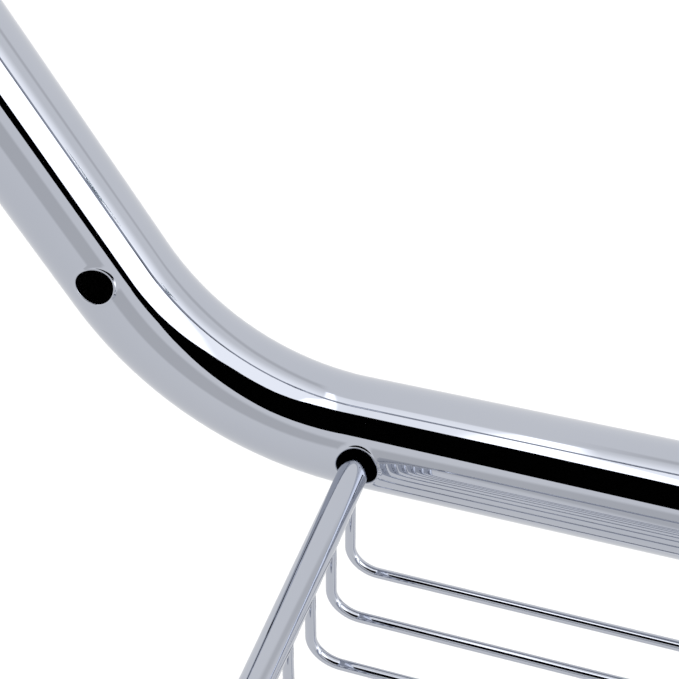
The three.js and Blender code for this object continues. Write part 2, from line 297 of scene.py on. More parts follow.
def carriedSide(ways):
    # A side direction carried along the line without twist.
    first = np.array([0.0, 0.0, 1.0]) if abs(ways[0][2]) < 0.8 else np.array([0.0, 1.0, 0.0])
    side = unit(first - ways[0] * (first @ ways[0]))
    sides = [side]
    for way in ways[1:]:
        side = unit(side - way * (side @ way))
        sides.append(side)
    return np.array(sides)


def sweep(line, ways, profile, sides, looped=False):
    # Profile is (distance along the line, radius) pairs. Looped makes a sleeve, open makes a solid bar.
    profile = np.array(profile, float)
    spot, way = alongLine(line, ways, lineLengths(line), profile[:, 0])
    order = np.argsort(profile[:, 0], kind="stable")
    side = np.zeros_like(way)
    side[order] = carriedSide(way[order])
    other = np.cross(way, side)
    if looped:
        slope = np.roll(profile, -1, 0) - np.roll(profile, 1, 0)
    else:
        slope = np.gradient(profile, axis=0)
    slope = unit(slope)
    a = 2 * np.pi * np.arange(sides) / sides
    out = side[:, None] * np.cos(a)[None, :, None] + other[:, None] * np.sin(a)[None, :, None]
    points = spot[:, None] + out * profile[:, 1][:, None, None]
    normals = out * slope[:, 0][:, None, None] - way[:, None] * slope[:, 1][:, None, None]
    rings = len(profile)
    faces = gridFaces(rings, sides, looped)
    if not looped:
        normals[0], normals[-1] = -way[0], way[-1]
        faces += [tuple(range(sides))[::-1], tuple(range((rings - 1) * sides, rings * sides))]
    return points.reshape(-1, 3), faces, normals.reshape(-1, 3)


def gridFaces(rings, sides, looped=False):
    faces = []
    for i in range(rings if looped else rings - 1):
        j = (i + 1) % rings
        for k in range(sides):
            n = (k + 1) % sides
            faces.append((i * sides + k, i * sides + n, j * sides + n, j * sides + k))
    return faces


def roundEnd(radius, edge, steps=4):
    # (distance from the end face, radius) of a rounded rim.
    turns = [math.radians(90 - 90 * k / steps) for k in range(steps + 1)]
    return [(edge - edge * math.sin(a), radius - edge + edge * math.cos(a)) for a in turns]


def weldEnd(radius, flare):
    # The end of a wire swells where it melts into the bar it is welded to.
    shape = [(0, 1), (0.25, 0.86), (0.55, 0.52), (0.9, 0.22), (1.3, 0.06), (1.8, 0)]
    return [(d * flare / 0.6, radius + flare * share) for d, share in shape]


def barProfile(line, radius, startEnd, finishEnd):
    lengths = lineLengths(line)
    total = lengths[-1]
    start = startEnd
    finish = [(total - d, r) for d, r in finishEnd][::-1]
    middle = [(s, radius) for s in lengths if start[-1][0] + 0.05 < s < finish[0][0] - 0.05]
    return start + middle + finish


def filleted(profile, step=15.0):
    # Rounds the corners of an outline of (radius, height, corner radius).
    spots = [np.array(p[:2], float) for p in profile]
    out = [spots[0]]
    for i in range(1, len(spots) - 1):
        r = profile[i][2] if len(profile[i]) > 2 else 0
        before, after = unit(spots[i] - spots[i - 1]), unit(spots[i + 1] - spots[i])
        turn = math.acos(np.clip(before @ after, -1, 1))
        if r <= 0 or turn < 0.02:
            out.append(spots[i])
            continue
        start = spots[i] - before * r * math.tan(turn / 2)
        inward = unit(after - before * (after @ before))
        steps = max(2, math.ceil(math.degrees(turn) / step))
        for k in range(steps + 1):
            a = turn * k / steps
            out.append(start + r * (before * math.sin(a) + inward * (1 - math.cos(a))))
    out.append(spots[-1])
    return np.array(out)


def lathe(profile, origin, way, sides):
    # Turns an outline that starts and ends on the axis. Returns (points, faces).
    way = unit(way)
    side = unit(np.cross(way, [0.3, 0.5, 0.8]))
    other = np.cross(way, side)
    a = 2 * np.pi * np.arange(sides) / sides
    out = side * np.cos(a)[:, None] + other * np.sin(a)[:, None]
    rings = profile[1:-1]
    points = [np.asarray(origin) + way * h + out * r for r, h in rings]
    points += [np.asarray(origin) + way * profile[i][1] for i in (0, -1)]
    points = np.vstack(points)
    low, high = len(rings) * sides, len(rings) * sides + 1
    faces = gridFaces(len(rings), sides)
    last = (len(rings) - 1) * sides
    for k in range(sides):
        n = (k + 1) % sides
        faces += [(low, n, k), (high, last + k, last + n)]
    return points, faces


# blended castings: a shape is a distance field, and its skin is drawn over the zero level


def cylinderField(p, start, end, radius, edge):
    start, end = np.array(start, float), np.array(end, float)
    way = unit(end - start)
    half = np.linalg.norm(end - start) / 2
    rel = p - (start + end) / 2
    along = rel @ way
    across = np.sqrt(np.maximum((rel * rel).sum(-1) - along * along, 0))
    a, b = across - radius + edge, np.abs(along) - half + edge
    return np.minimum(np.maximum(a, b), 0) + np.hypot(np.maximum(a, 0), np.maximum(b, 0)) - edge


def melt(a, b, width):
    share = np.clip(0.5 + 0.5 * (b - a) / width, 0, 1)
    return b + (a - b) * share - width * share * (1 - share)


def cutFrom(a, b, width):
    return -melt(-a, b, width)


def skinOf(field, low, high, cell):
    low, high = np.array(low, float), np.array(high, float)
    count = np.ceil((high - low) / cell).astype(int) + 1
    axes = [low[i] + cell * np.arange(count[i]) for i in range(3)]
    level = field(np.stack(np.meshgrid(*axes, indexing="ij"), -1).reshape(-1, 3)).reshape(count)
    inside = level < 0
    total, hits = np.zeros((*(count - 1), 3)), np.zeros(count - 1)
    for axis in range(3):
        addCrossings(level, inside, axis, total, hits)
    cells = np.argwhere(hits > 0)
    number = -np.ones(count - 1, int)
    number[tuple(cells.T)] = np.arange(len(cells))
    points = low + cell * (cells + total[tuple(cells.T)] / hits[tuple(cells.T)][:, None])
    faces = np.vstack([crossingFaces(inside, axis, number) for axis in range(3)])
    points, normals = settle(field, points, cell)
    return points, [tuple(f) for f in faces.tolist()], normals


def addCrossings(level, inside, axis, total, hits):
    # Adds each crossed grid edge to the four cells round it.
    a = np.moveaxis(level, axis, 0)
    s = np.moveaxis(inside, axis, 0)
    crossed = s[:-1] != s[1:]
    share = np.where(crossed, a[:-1] / np.where(crossed, a[:-1] - a[1:], 1), 0)
    totals, counts = np.moveaxis(total, axis, 0), np.moveaxis(hits, axis, 0)
    others = [i for i in range(3) if i != axis]
    for u in (0, 1):
        for v in (0, 1):
            pick = (slice(None), slice(u, crossed.shape[1] - 1 + u), slice(v, crossed.shape[2] - 1 + v))
            mask = crossed[pick]
            counts += mask
            totals[..., axis] += np.where(mask, share[pick], 0)
            totals[..., others[0]] += np.where(mask, u, 0)
            totals[..., others[1]] += np.where(mask, v, 0)


def crossingFaces(inside, axis, number):
    s, n = np.moveaxis(inside, axis, 0), np.moveaxis(number, axis, 0)
    i, j, k = np.nonzero(s[:-1] != s[1:])
    quads = np.stack([n[i, j - 1, k - 1], n[i, j, k - 1], n[i, j, k], n[i, j - 1, k]], 1)
    flip = s[:-1][i, j, k] ^ (axis == 1)
    quads[flip] = quads[flip][:, ::-1]
    return quads


def settle(field, points, cell):
    # Moves the points on to the zero level and reads the normals there.
    tiny = cell * 0.02
    steps = np.eye(3) * tiny
    for _ in range(4):
        slope = np.stack([field(points + d) - field(points - d) for d in steps], 1) / (2 * tiny)
        size = np.maximum((slope * slope).sum(1), 0.2)
        move = slope * (field(points) / size)[:, None]
        points = points - np.clip(move, -cell * 0.4, cell * 0.4)
    slope = np.stack([field(points + d) - field(points - d) for d in steps], 1)
    return points, unit(slope + 1e-12)


# the bent tube

tube = {
    "outerR": 12.7,
    "wall": 1.2,
    "bendR": 66.6,
    "barHalf": 62.3,
    "armRise": 58.3,
    "armLength": 80.0,
    "sideLength": 230.0,
    "shoulderTurn": 58.3,
    "setback": 26.0,
    "sides": 96,
    "bendStep": 3.0,
    "lip": [(1.0, 0.0), (0.78, 0.015), (0.6, 0.06), (0.45, 0.11), (0.32, 0.13), (0.2, 0.11), (0.09, 0.04),
            (0.02, -0.06), (0.0, -0.16)],
    "innerDeburr": 0.15,
}
holes = {
    "rodR": 4.75,
    "rodInward": 0.3,
    "rodRaised": 0.45,
    "rodInset": 2.95,
    "spareR": 4.2,
    "sparePastBend": 4.25,
    "spareTurn": 9.8,
    "studR": 3.1,
    "screwR": 2.3,
    "screwFromEnd": 11.0,
}
basketHeights = {"lower": 0.0, "upper": 105.0}
cupHeight = 25.0
barZ = boxMm("frame_tube")[0][2] + tube["outerR"]


def tubeRuns(shoulder):
    # Straight runs and bends of the right half, from the middle of the bar: (length, turn in radians).
    turn = math.radians
    rise = tube["armRise"]
    bends = [turn(rise), turn(90 - rise), turn(tube["shoulderTurn"])]
    straights = [tube["barHalf"], tube["armLength"], tube["sideLength"], shoulder]
    runs = []
    for i, straight in enumerate(straights):
        runs.append((straight, 0.0))
        if i < 3:
            runs.append((tube["bendR"] * bends[i], bends[i]))
    return runs


def runMarks(runs):
    # Where each run starts: distance, x, z and heading.
    marks, s, x, z, heading = [], 0.0, 0.0, 0.0, 0.0
    for length, turn in runs:
        marks.append((s, x, z, heading))
        if turn:
            x += tube["bendR"] * (math.sin(heading + turn) - math.sin(heading))
            z += tube["bendR"] * (math.cos(heading) - math.cos(heading + turn))
            heading += turn
        else:
            x += length * math.cos(heading)
            z += length * math.sin(heading)
        s += length
    marks.append((s, x, z, heading))
    return marks


bareMarks = runMarks(tubeRuns(0.0))
sinShoulder = math.sin(math.radians(tube["shoulderTurn"]))
cosShoulder = math.cos(math.radians(tube["shoulderTurn"]))
shoulderLength = bareMarks[-1][1] / sinShoulder - tube["setback"]
runs = tubeRuns(shoulderLength)
marks = runMarks(runs)
halfLength = marks[-1][0]
apex = bareMarks[-1][2] + bareMarks[-1][1] * cosShoulder / sinShoulder
armFoot, sideFoot = marks[2], marks[4]
sideX = sideFoot[1]
hubZ = barZ + apex


def tubeAxis(s):
    # Middle line of the whole tube at distances s from the middle of the bar: x, z and heading.
    s = np.asarray(s, float)
    far = np.abs(s)
    x, z, heading = np.zeros_like(far), np.zeros_like(far), np.zeros_like(far)
    for (length, turn), (start, x0, z0, h0) in zip(runs, marks):
        here = far >= start - 1e-9
        d = far - start
        if turn:
            h = h0 + d / tube["bendR"]
            x = np.where(here, x0 + tube["bendR"] * (np.sin(h) - math.sin(h0)), x)
            z = np.where(here, z0 + tube["bendR"] * (math.cos(h0) - np.cos(h)), z)
            heading = np.where(here, h, heading)
        else:
            x = np.where(here, x0 + d * math.cos(h0), x)
            z = np.where(here, z0 + d * math.sin(h0), z)
            heading = np.where(here, h0, heading)
    sign = np.where(s < 0, -1.0, 1.0)
    return x * sign, z + barZ, heading * sign


def tubePoint(s, a, radius):
    # a is the angle round the tube, from the inside of the bends towards the front.
    x, z, heading = tubeAxis(s)
    out = np.stack([-np.sin(heading) * np.cos(a), -np.sin(a), np.cos(heading) * np.cos(a)], -1)
    return np.stack([x, np.zeros_like(x), z], -1) + out * np.asarray(radius)[..., None], out


def nearestOnAxis(p, s):
    for _ in range(12):
        x, z, heading = tubeAxis(s)
        s = s + (p[..., 0] - x) * np.cos(heading) + (p[..., 2] - z) * np.sin(heading)
    x, z, _ = tubeAxis(s)
    rel = p - np.stack([x, np.zeros_like(x), z], -1)
    return s, rel


def ontoTube(p, way, s, radius):
    # Slides points along a drilling direction on to the tube's surface of that radius.
    for _ in range(7):
        s, rel = nearestOnAxis(p, s)
        far = np.linalg.norm(rel, axis=-1)
        out = rel / far[..., None]
        p = p - way * ((far - radius) / (out @ way))[..., None]
    s, rel = nearestOnAxis(p, s)
    return p, unit(rel)


def drillings():
    # Every hole: a point on its line, its direction out of the tube, its radius, its distance along the tube.
    made = []
    lowerX = tube["barHalf"] - holes["rodInset"] - holes["rodInward"]
    upperX = sideX - holes["rodInward"]
    upperZ = sideFoot[2] + basketHeights["upper"] + holes["rodRaised"]
    screwBack = tube["setback"] + holes["screwFromEnd"]
    spareS = armFoot[0] + holes["sparePastBend"]
    turn = math.radians(holes["spareTurn"])
    for side in (-1, 1):
        front, back = np.array([0.0, -1.0, 0.0]), np.array([0.0, 1.0, 0.0])
        lowerPlace = (side * lowerX, 0, barZ + holes["rodRaised"])
        made.append((lowerPlace, front, holes["rodR"], side * lowerX))
        upperS = side * (sideFoot[0] + basketHeights["upper"])
        made.append(((side * upperX, 0, barZ + upperZ), front, holes["rodR"], upperS))
        cupS = side * (sideFoot[0] + cupHeight)
        made.append(((side * sideX, 0, barZ + sideFoot[2] + cupHeight), back, holes["studR"], cupS))
        screwPlace = (side * screwBack * sinShoulder, 0, hubZ - screwBack * cosShoulder)
        made.append((screwPlace, back, holes["screwR"], side * (halfLength - holes["screwFromEnd"])))
        x, z, heading = (float(v) for v in tubeAxis(side * spareS))
        inwards = np.array([-math.sin(heading), 0, math.cos(heading)])
        way = inwards * math.sin(turn) + front * math.cos(turn)
        made.append(((x, 0, z), way, holes["spareR"], side * spareS))
    return made


def tubeStations(patches):
    # Close steps in bends and round holes, one long step elsewhere.
    stops = [0.0]
    for (length, turn), (start, *_) in zip(runs, marks):
        if turn:
            steps = math.ceil(math.degrees(turn) / tube["bendStep"])
            stops += [start + length * k / steps for k in range(steps + 1)]
    stops += [halfLength]
    stops = sorted({round(s * side, 6) for s in stops for side in (-1, 1)})
    for patch in patches:
        low, high = patch["span"]
        stops = [s for s in stops if s < low - 0.3 or s > high + 0.3]
        stops += np.linspace(low, high, patch["steps"] + 1).tolist()
    return np.array(sorted(stops))


def planPatches():
    step = 2 * math.pi / tube["sides"]
    patches = []
    for point, way, radius, s in drillings():
        reach = radius * 1.6
        outside = np.array([point], float) + way * tube["outerR"]
        start, _ = ontoTube(outside, way, np.array([s]), tube["outerR"])
        exactS, rel = nearestOnAxis(start, np.array([s]))
        heading = float(tubeAxis(exactS)[2][0])
        inwards = np.array([-math.sin(heading), 0, math.cos(heading)])
        angle = math.atan2(-rel[0][1], rel[0] @ inwards)
        halfTurn = math.ceil(math.asin(reach / tube["outerR"]) / step)
        middle = round(angle / step)
        steps = 2 * max(4, round(reach / 1.0))
        patches.append({
            "point": np.array(point, float), "way": way, "radius": radius, "s": float(exactS[0]),
            "span": (float(exactS[0]) - reach, float(exactS[0]) + reach), "steps": steps,
            "turns": (middle - halfTurn, middle + halfTurn), "heading": heading,
        })
    return patches


def patchLoop(patch, stops):
    # Indices of the grid points round a patch, in order.
    first = int(np.argmin(np.abs(stops - patch["span"][0])))
    last = int(np.argmin(np.abs(stops - patch["span"][1])))
    low, high = patch["turns"]
    loop = [(i, low) for i in range(first, last)] + [(last, k) for k in range(low, high)]
    loop += [(i, high) for i in range(last, first, -1)] + [(first, k) for k in range(high, low, -1)]
    return first, last, loop


def holeRings(patch, edgePoints, radius, inner):
    # Rings from the edge of a patch to its hole: over the raised lip outside, over the deburred edge inside.
    way, point = patch["way"], patch["point"]
    heading = patch["heading"]
    one = np.array([math.cos(heading), 0, math.sin(heading)])
    two = np.cross(way, one)
    rel = edgePoints - point
    across = np.stack([rel @ one, rel @ two], 1)
    turn = np.arctan2(across[:, 1], across[:, 0])
    circle = np.stack([np.cos(turn), np.sin(turn)], 1)
    edge = tube["innerDeburr"]
    wide = patch["radius"] + (edge if inner else tube["lip"][0][0])
    into = -(circle[:, :1] * one + circle[:, 1:] * two)
    rings, normals = [], []

    def surface(flat):
        p = point + flat[:, :1] * one + flat[:, 1:] * two + way * radius
        return ontoTube(p, way, np.full(len(p), patch["s"]), radius)

    for share in (0.22, 0.44, 0.64, 0.82):
        p, out = surface(across * (1 - share) + circle * wide * share)
        rings.append(p)
        normals.append(-out if inner else out)
    lip = np.array(tube["lip"])
    slopes = np.gradient(lip[:, 1], -lip[:, 0])
    if inner:
        for a in (0, 30, 60, 90):
            lean = math.radians(a)
            p, out = surface(circle * (patch["radius"] + edge * (1 - math.sin(lean))))
            rings.append(p + way * edge * (1 - math.cos(lean)))
            normals.append(unit(-out * math.cos(lean) + into * math.sin(lean)))
        return rings, normals
    for (d, height), slope in zip(lip, slopes):
        p, out = surface(circle * (patch["radius"] + d))
        rings.append(p + way * height)
        normals.append(unit(out - into * slope))
    normals[-1] = into
    return rings, normals


def drillPatch(patch, stops, grids, points, normals, faces, inFaces):
    sides = tube["sides"]
    first, last, loop = patchLoop(patch, stops)
    ladders = []
    for inner in (False, True):
        radius = tube["outerR"] - tube["wall"] if inner else tube["outerR"]
        base = grids[inner]
        ids = [base + i * sides + k % sides for i, k in loop]
        edgePoints = np.array([points[i] for i in ids])
        rings, ringNormals = holeRings(patch, edgePoints, radius, inner)
        ladder = [ids]
        for ring, ringNormal in zip(rings, ringNormals):
            start = len(points)
            points.extend(ring)
            normals.extend(ringNormal)
            ladder.append(list(range(start, start + len(ring))))
        ladders.append(ladder)
    for inner, ladder in enumerate(ladders):
        for a, b in zip(ladder, ladder[1:]):
            for k in range(len(a)):
                n = (k + 1) % len(a)
                faces.append((a[k], a[n], b[n], b[k]))
                inFaces.append(inner)
    a, b = ladders[0][-1], ladders[1][-1]
    for k in range(len(a)):
        n = (k + 1) % len(a)
        faces.append((a[k], a[n], b[n], b[k]))
        inFaces.append(0)
    return {(i, k % sides) for i in range(first, last) for k in range(patch["turns"][0], patch["turns"][1])}


def makeTube():
    sides = tube["sides"]
    patches = planPatches()
    stops = tubeStations(patches)
    turns = 2 * np.pi * np.arange(sides) / sides
    s, a = np.meshgrid(stops, turns, indexing="ij")
    points, normals, grids = [], [], []
    for radius, sign in ((tube["outerR"], 1), (tube["outerR"] - tube["wall"], -1)):
        p, out = tubePoint(s.ravel(), a.ravel(), np.full(s.size, radius))
        grids.append(len(points))
        points.extend(p)
        normals.extend(out * sign)
    faces, inFaces, drilled = [], [], set()
    for patch in patches:
        drilled |= drillPatch(patch, stops, grids, points, normals, faces, inFaces)
    for inner in (0, 1):
        for i in range(len(stops) - 1):
            for k in range(sides):
                if (i, k) in drilled:
                    continue
                n = (k + 1) % sides
                b = grids[inner]
                a, c = b + i * sides, b + (i + 1) * sides
                faces.append((a + k, a + n, c + n, c + k))
                inFaces.append(inner)
    for end in (0, len(stops) - 1):
        closeEnd(end, stops, grids, points, normals, faces, inFaces)
    # the inner wall gets the near-black bore finish, which paints the shade inside the tube
    extra = {"finish": shadedBore, "faces": inFaces}
    shape = (np.array(points), faces, np.array(normals))
    addPiece("bentTube", *shape, "frame", "chrome", "frame_tube", extra)


def closeEnd(end, stops, grids, points, normals, faces, inFaces):
    sides = tube["sides"]
    s = stops[end]
    outer, inner = tube["outerR"], tube["outerR"] - tube["wall"]
    back = -1.0 if end == 0 else 1.0
    turns = 2 * np.pi * np.arange(sides) / sides
    x, z, heading = tubeAxis(np.full(sides, s))
    way = back * np.stack([np.cos(heading), 0 * heading, np.sin(heading)], -1)
    ladder = [[grids[0] + end * sides + k for k in range(sides)]]
    rounding = ((outer - 0.1, 0.2, 0.7), (outer - 0.3, 0.28, 0.1), (inner + 0.2, 0.28, -0.1))
    for radius, forward, lean in rounding:
        p, out = tubePoint(np.full(sides, s), turns, np.full(sides, radius))
        start = len(points)
        points.extend(p + way * forward)
        normals.extend(unit(out * lean + way * (1 - abs(lean))))
        ladder.append(list(range(start, start + sides)))
    ladder.append([grids[1] + end * sides + k for k in range(sides)])
    for a, b in zip(ladder, ladder[1:]):
        for k in range(sides):
            n = (k + 1) % sides
            faces.append((a[k], a[n], b[n], b[k]))
            inFaces.append(0)


makeTube()
print("bent tube made")

# baskets: a rim rod with domed ends, hanging wires, cross wires and rails

rod = {"r": 3.4, "sides": 48, "domeInset": 1.9, "domeSteps": 10, "frontTrim": 0.17}
wire = {"r": 1.25, "sides": 28, "bendR": 7.0, "pitch": 14.1, "flare": 0.55, "intoRod": 0.45}
baskets = {
    "lower": {"halfWidth": tube["barHalf"] - holes["rodInset"], "depth": 125.0, "cornerR": 12.0, "drop": 29.9,
              "wireOutset": 0.5},
    "upper": {"halfWidth": sideX, "depth": 125.0, "cornerR": 20.0, "drop": 60.0, "wireOutset": 0.0},
}
upperExtras = {"guardDrop": 30.0, "guardInset": 40.0, "railR": 2.0, "railBehindFront": 9.0, "stringers": 3}
wireCount = 8
firstWireY = -(tube["outerR"] + gap + wire["r"])


def raised(corners, z):
    return [(c[0], c[1], c[2] + z, *c[3:]) for c in corners]


def domedEnd(radius, steps):
    # (distance from the end, radius) of a half ball.
    turns = [math.radians(90 - 90 * k / steps) for k in range(steps + 1)]
    return [(radius - radius * math.sin(a), max(radius * math.cos(a), 0.02)) for a in turns]


def makeRim(name, basket, z):
    size = baskets[basket]
    half = size["halfWidth"]
    back = -(tube["outerR"] - rod["domeInset"]) + rod["r"]
    front = -size["depth"] + rod["frontTrim"]
    bend = size["cornerR"]
    corners = [(-half, back, 0), (-half, front, 0, bend), (half, front, 0, bend), (half, back, 0)]
    line, ways = bentLine(raised(corners, z))
    dome = domedEnd(rod["r"], rod["domeSteps"])
    points, faces, normals = sweep(line, ways, barProfile(line, rod["r"], dome, dome), rod["sides"])
    addPiece(name, points, faces, normals, basket + "_basket", "chrome", basket + "_basket_rim")


def hangingWire(half, y, drop, z):
    top = -(rod["r"] - wire["intoRod"])
    bend = wire["bendR"]
    corners = [(-half, y, top), (-half, y, -drop, bend), (half, y, -drop, bend), (half, y, top)]
    line, ways = bentLine(raised(corners, z))
    weld = weldEnd(wire["r"], wire["flare"])
    return sweep(line, ways, barProfile(line, wire["r"], weld, weld), wire["sides"])


def weldBead(place, spread):
    # A small flattened bead where two bars cross.
    turns = [math.radians(d) for d in range(-90, 91, 18)]
    profile = np.array([(math.cos(t), math.sin(t)) for t in turns])
    points, faces = lathe(profile, (0, 0, 0), (0, 0, 1), 20)
    normals = unit(points / np.array(spread))
    return points * np.array(spread) + np.array(place), faces, normals


def makeWires(basket, z):
    size = baskets[basket]
    for i in range(wireCount):
        y = firstWireY - i * wire["pitch"]
        shape = hangingWire(size["halfWidth"] + size["wireOutset"], y, size["drop"], z)
        node = f"{basket}_basket_wire_{i + 1}"
        addPiece(f"{basket}Wire{i + 1}", *shape, basket + "_basket", "chrome", node)


def straightBar(start, end, radius, sides, ends):
    line = np.array([start, end], float)
    ways = np.array([unit(line[1] - line[0])] * 2)
    return sweep(line, ways, barProfile(line, radius, ends, ends), sides)


def makeStringers(z):
    drop = baskets["upper"]["drop"]
    lastY = firstWireY - (wireCount - 1) * wire["pitch"]
    height = z - drop - 2 * wire["r"] - gap
    for i in range(upperExtras["stringers"]):
        x = sideX * (2 * (i + 1) / (upperExtras["stringers"] + 1) - 1)
        ends = roundEnd(wire["r"], 0.4)
        shapes = [straightBar((x, firstWireY + wire["r"], height), (x, lastY - wire["r"], height),
                              wire["r"], wire["sides"], ends)]
        for k in range(wireCount):
            y = firstWireY - k * wire["pitch"]
            shapes.append(weldBead((x, y, height + wire["r"] + gap / 2), (1.0, 1.0, 0.75)))
        node = f"upper_basket_stringer_{i + 1}"
        addPiece(f"floorStringer{i + 1}", *joined(*shapes), "upper_basket", "chrome", node)


def makeGuardAndRail(z):
    guardHalf = sideX - upperExtras["guardInset"]
    guard = hangingWire(guardHalf, -baskets["upper"]["depth"], upperExtras["guardDrop"], z)
    addPiece("frontGuard", *guard, "upper_basket", "chrome", "upper_basket_front_guard")
    y = firstWireY - upperExtras["railBehindFront"]
    reach = sideX - rod["r"] + 0.4
    ends = weldEnd(upperExtras["railR"], 0.5)
    rail = straightBar((-reach, y, z), (reach, y, z), upperExtras["railR"], 32, ends)
    addPiece("rearRail", *rail, "upper_basket", "chrome", "upper_basket_rear_rail")


lowerZ = barZ
upperZ = barZ + sideFoot[2] + basketHeights["upper"]
makeRim("lowerRim", "lower", lowerZ)
makeWires("lower", lowerZ)
print("lower basket made")
makeRim("upperRim", "upper", upperZ)
makeWires("upper", upperZ)
makeStringers(upperZ)
makeGuardAndRail(upperZ)
print("upper basket made")

# hub, hook and clamp

armR = 10.7
hook = {"r": 5.0, "tipR": 6.6, "tipTurn": 176.0, "socketDepth": 18.0, "bossR": 8.5, "bossBelowTop": 2.0}
sleeve = {"wall": 1.5, "from": 8.0, "to": 150.0, "grooves": 12, "grooveDepth": 0.5, "grooveWidth": 1.3}
clamp = {
    "standoff": 1.0, "up": 2.5, "down": 14.0, "rubber": 3.5, "cup": 3.0, "padR": 7.0, "lip": 0.8,
    "screwR": 4.0, "tipR": 2.4, "knobR": 12.5, "knobHeight": 14.0, "flutes": 8, "fluteR": 3.0,
    "threadPitch": 2.0, "threadDepth": 0.42,
}
hub = {"collarR": 15.0, "bossR": 11.0, "spigot": 22.0, "spigotR": 10.8, "fillet": 4.5, "cell": 0.8}
setScrew = {"r": 2.0, "headR": 3.6, "head": 2.2, "bite": 6.0, "socketR": 1.55, "socketDepth": 1.2}
sleeveR = hook["r"] + gap + sleeve["wall"]
gripR = sleeveR - 0.01
hookArcR = armR + sleeveR
padTop = -2 * armR - clamp["standoff"]
padStack = clamp["rubber"] + gap + clamp["cup"]
hubTop = padTop - padStack - clamp["down"] - 2 * gap
collarReach = hub["collarR"] / sinShoulder
knobTop = hubZ - collarReach - clamp["knobR"] * cosShoulder / sinShoulder - clamp["up"] - 1


def hubField(p):
    middle = np.array([0, 0, hubZ])
    hookFoot = hubTop + hook["bossBelowTop"]
    shape = np.linalg.norm(p - middle, axis=-1) - hub["collarR"]
    boss = cylinderField(p, middle, (0, 0, hubTop), hub["bossR"], 1.0)
    shape = melt(shape, boss, hub["fillet"])
    bossFoot = (-hookArcR, 0, hubZ - hub["collarR"] / 2)
    hookBoss = cylinderField(p, bossFoot, (-hookArcR, 0, hookFoot), hook["bossR"], 1.0)
    for side in (-1, 1):
        down = np.array([side * sinShoulder, 0, -cosShoulder])
        collarEnd = middle + down * (tube["setback"] - gap)
        collar = cylinderField(p, middle - down * 2, collarEnd, hub["collarR"], 1.6)
        shape = melt(shape, collar, 2.0)
    shape = melt(shape, hookBoss, hub["fillet"])
    for side in (-1, 1):
        down = np.array([side * sinShoulder, 0, -cosShoulder])
        spigotEnd = middle + down * (tube["setback"] + hub["spigot"])
        spigot = cylinderField(p, middle, spigotEnd, hub["spigotR"], 0.8)
        shape = np.minimum(shape, spigot)
    bore = cylinderField(p, (0, 0, hubZ - 60), (0, 0, hubTop + 20), clamp["screwR"] + gap, 0.1)
    socketFoot = (-hookArcR, 0, hookFoot - hook["socketDepth"] - gap)
    socket = cylinderField(p, socketFoot, (-hookArcR, 0, hookFoot + 20), hook["r"] + 0.12, 0.3)
    return cutFrom(cutFrom(shape, bore, 0.9), socket, 0.7)


def makeHub():
    low, high = boxMm("hanger_hub")
    points, faces, normals = skinOf(hubField, low - 1.3, high + 1.3, hub["cell"])
    addPiece("hangerCasting", points, faces, normals, "frame", "chrome", "hanger_hub")


def hookLine(start, end, step=3.0):
    steps = max(4, math.ceil(abs(end - start) / step))
    a = np.radians(np.linspace(start, end, steps + 1))
    line = np.stack([-hookArcR * np.cos(a), 0 * a, -armR + hookArcR * np.sin(a)], 1)
    return line, np.stack([np.sin(a), 0 * a, np.cos(a)], 1)


def makeHook():
    line, ways = hookLine(0, hook["tipTurn"])
    foot = [-hookArcR, 0, hubTop + hook["bossBelowTop"] - hook["socketDepth"]]
    line, ways = np.vstack([foot, line]), np.vstack([[0, 0, 1], ways])
    ends = roundEnd(hook["r"], 0.5)
    shape = sweep(line, ways, barProfile(line, hook["r"], ends, ends), 56)
    addPiece("armHook", *shape, "frame", "chrome", "arm_hook")


def makeSleeve():
    line, ways = hookLine(sleeve["from"], sleeve["to"], 2.0)
    total = lineLengths(line)[-1]
    outer, inner = gripR, hook["r"] + 0.08
    profile = [(0, inner + 0.3), (0.05, outer - 0.5), (0.2, outer - 0.15), (0.55, outer)]
    pitch = total / (sleeve["grooves"] + 1)
    for k in range(sleeve["grooves"]):
        at = pitch * (k + 1)
        groove = ((-0.5, 0), (-0.36, 0.35), (-0.22, 0.85), (0, 1), (0.22, 0.85), (0.36, 0.35), (0.5, 0))
        for d, share in groove:
            profile.append((at + d * sleeve["grooveWidth"], outer - sleeve["grooveDepth"] * share))
        profile.append((at + pitch / 2, outer))
    profile = profile[:-1]
    profile += [(total - 0.55, outer), (total - 0.2, outer - 0.15), (total - 0.05, outer - 0.5)]
    profile += [(total, inner + 0.3)]
    steps = 40
    profile += [(total - 0.3 - (total - 0.6) * k / steps, inner) for k in range(steps + 1)]
    shape = sweep(line, ways, profile, 48, looped=True)
    addPiece("gripSleeve", *shape, "frame", "black_rubber", "hook_sleeve")


def makeHookTip():
    line, ways = hookLine(0, hook["tipTurn"])
    end, way = line[-1], ways[-1]
    middle = gap + hook["tipR"] * 0.8
    start = math.asin(0.8)
    turns = [-start + (math.pi / 2 + start) * k / 22 for k in range(23)]
    ball = [(hook["tipR"] * math.cos(t), middle + hook["tipR"] * math.sin(t)) for t in turns]
    profile = filleted([(0, gap), (ball[0][0], gap, 0.35), *ball[1:-1], (0, ball[-1][1])])
    points, faces = lathe(profile, end, way, 48)
    addPiece("hookBall", points, faces, None, "frame", "chrome", "hook_tip")


